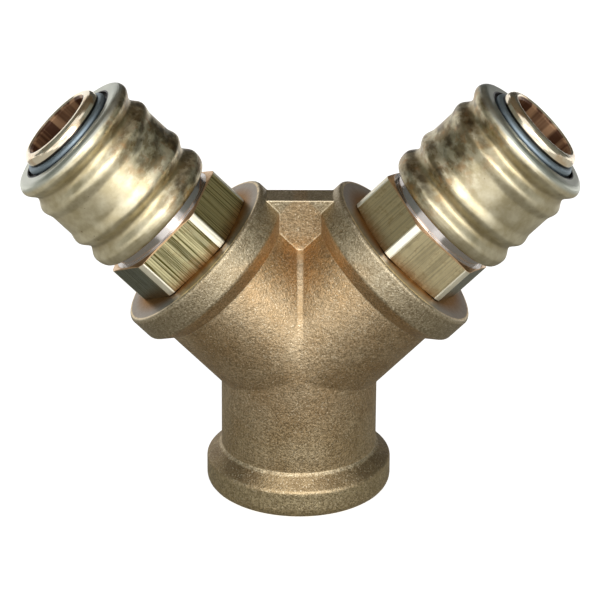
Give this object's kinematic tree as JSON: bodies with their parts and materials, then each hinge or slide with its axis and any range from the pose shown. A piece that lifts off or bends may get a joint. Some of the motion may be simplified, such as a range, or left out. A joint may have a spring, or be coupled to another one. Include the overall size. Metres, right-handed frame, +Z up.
{
  "type": "two-way manifold",
  "caption": "Cast Y-shaped compressed air manifold: one threaded inlet below, a quick-release plug coupling with sliding sleeve on each branch.",
  "frame": {"origin": "centre of the inlet collar's face, on which the part stands", "axes": "+Z up along the inlet's axis; the two branches lean 45 degrees to -X (left) and +X (right) in the XZ plane; the picture looks along +Y"},
  "size_m": [0.0966, 0.0326, 0.0743],
  "materials": {
    "cast_bronze": "sand cast, blasted",
    "drawn_brass": "drawn bar, machined",
    "polished_brass": "turned and polished",
    "satin_brass": "satin",
    "valve_brass": "turned",
    "ring_steel": "blued spring wire",
    "spring_steel": "drawn wire",
    "ball_steel": "polished",
    "seal_rubber": "moulded"
  },
  "bodies": {
    "manifold": {"body": "cast_bronze", "left_adapter": "drawn_brass", "left_housing": "polished_brass", "left_snap_ring": "ring_steel", "left_valve_spring": "spring_steel", "left_plug_seal": "seal_rubber", "left_housing_seal": "seal_rubber", "left_thread_seal": "seal_rubber", "right_adapter": "drawn_brass", "right_housing": "polished_brass", "right_snap_ring": "ring_steel", "right_valve_spring": "spring_steel", "right_plug_seal": "seal_rubber", "right_housing_seal": "seal_rubber", "right_thread_seal": "seal_rubber"},
    "left_spring_ring": {"left_sleeve_spring": "spring_steel"},
    "left_sleeve": {"left_sleeve": "satin_brass"},
    "left_valve": {"left_valve": "valve_brass", "left_valve_seal": "seal_rubber"},
    "left_ball_1": {"left_ball_1": "ball_steel"},
    "left_ball_2": {"left_ball_2": "ball_steel"},
    "left_ball_3": {"left_ball_3": "ball_steel"},
    "left_ball_4": {"left_ball_4": "ball_steel"},
    "right_spring_ring": {"right_sleeve_spring": "spring_steel"},
    "right_sleeve": {"right_sleeve": "satin_brass"},
    "right_valve": {"right_valve": "valve_brass", "right_valve_seal": "seal_rubber"},
    "right_ball_1": {"right_ball_1": "ball_steel"},
    "right_ball_2": {"right_ball_2": "ball_steel"},
    "right_ball_3": {"right_ball_3": "ball_steel"},
    "right_ball_4": {"right_ball_4": "ball_steel"}
  },
  "joints": [
    {"name": "left_sleeve_turn", "type": "hinge", "parent": "manifold", "child": "left_spring_ring", "pos_m": [0, 0, 0.026], "axis": [-0.7071, 0, 0.7071], "continuous": true},
    {"name": "left_sleeve_slide", "type": "slide", "parent": "left_spring_ring", "child": "left_sleeve", "axis": [0.7071, 0, -0.7071], "range_m": [0, 0.0016], "stiffness_N_per_m": 4000, "springref_m": -0.003, "deforming": ["left_sleeve_spring"]},
    {"name": "left_valve_slide", "type": "slide", "parent": "manifold", "child": "left_valve", "axis": [0.7071, 0, -0.7071], "range_m": [0, 0.0045], "stiffness_N_per_m": 1500, "springref_m": -0.004, "deforming": ["left_valve_spring"]},
    {"name": "left_ball_1_slide", "type": "slide", "parent": "manifold", "child": "left_ball_1", "axis": [0.5, 0.7071, 0.5], "range_m": [0, 0.00112]},
    {"name": "left_ball_2_slide", "type": "slide", "parent": "manifold", "child": "left_ball_2", "axis": [-0.5, 0.7071, -0.5], "range_m": [0, 0.00112]},
    {"name": "left_ball_3_slide", "type": "slide", "parent": "manifold", "child": "left_ball_3", "axis": [-0.5, -0.7071, -0.5], "range_m": [0, 0.00112]},
    {"name": "left_ball_4_slide", "type": "slide", "parent": "manifold", "child": "left_ball_4", "axis": [0.5, -0.7071, 0.5], "range_m": [0, 0.00112]},
    {"name": "right_sleeve_turn", "type": "hinge", "parent": "manifold", "child": "right_spring_ring", "pos_m": [0, 0, 0.026], "axis": [0.7071, 0, 0.7071], "continuous": true},
    {"name": "right_sleeve_slide", "type": "slide", "parent": "right_spring_ring", "child": "right_sleeve", "axis": [-0.7071, 0, -0.7071], "range_m": [0, 0.0016], "stiffness_N_per_m": 4000, "springref_m": -0.003, "deforming": ["right_sleeve_spring"]},
    {"name": "right_valve_slide", "type": "slide", "parent": "manifold", "child": "right_valve", "axis": [-0.7071, 0, -0.7071], "range_m": [0, 0.0045], "stiffness_N_per_m": 1500, "springref_m": -0.004, "deforming": ["right_valve_spring"]},
    {"name": "right_ball_1_slide", "type": "slide", "parent": "manifold", "child": "right_ball_1", "axis": [0.5, 0.7071, -0.5], "range_m": [0, 0.00112]},
    {"name": "right_ball_2_slide", "type": "slide", "parent": "manifold", "child": "right_ball_2", "axis": [-0.5, 0.7071, 0.5], "range_m": [0, 0.00112]},
    {"name": "right_ball_3_slide", "type": "slide", "parent": "manifold", "child": "right_ball_3", "axis": [-0.5, -0.7071, 0.5], "range_m": [0, 0.00112]},
    {"name": "right_ball_4_slide", "type": "slide", "parent": "manifold", "child": "right_ball_4", "axis": [0.5, -0.7071, -0.5], "range_m": [0, 0.00112]}
  ],
  "couplings": [
    {"joint": "left_ball_1_slide", "follows": "left_sleeve_slide", "ratio": 0.7},
    {"joint": "left_ball_2_slide", "follows": "left_sleeve_slide", "ratio": 0.7},
    {"joint": "left_ball_3_slide", "follows": "left_sleeve_slide", "ratio": 0.7},
    {"joint": "left_ball_4_slide", "follows": "left_sleeve_slide", "ratio": 0.7},
    {"joint": "right_ball_1_slide", "follows": "right_sleeve_slide", "ratio": 0.7},
    {"joint": "right_ball_2_slide", "follows": "right_sleeve_slide", "ratio": 0.7},
    {"joint": "right_ball_3_slide", "follows": "right_sleeve_slide", "ratio": 0.7},
    {"joint": "right_ball_4_slide", "follows": "right_sleeve_slide", "ratio": 0.7}
  ]
}
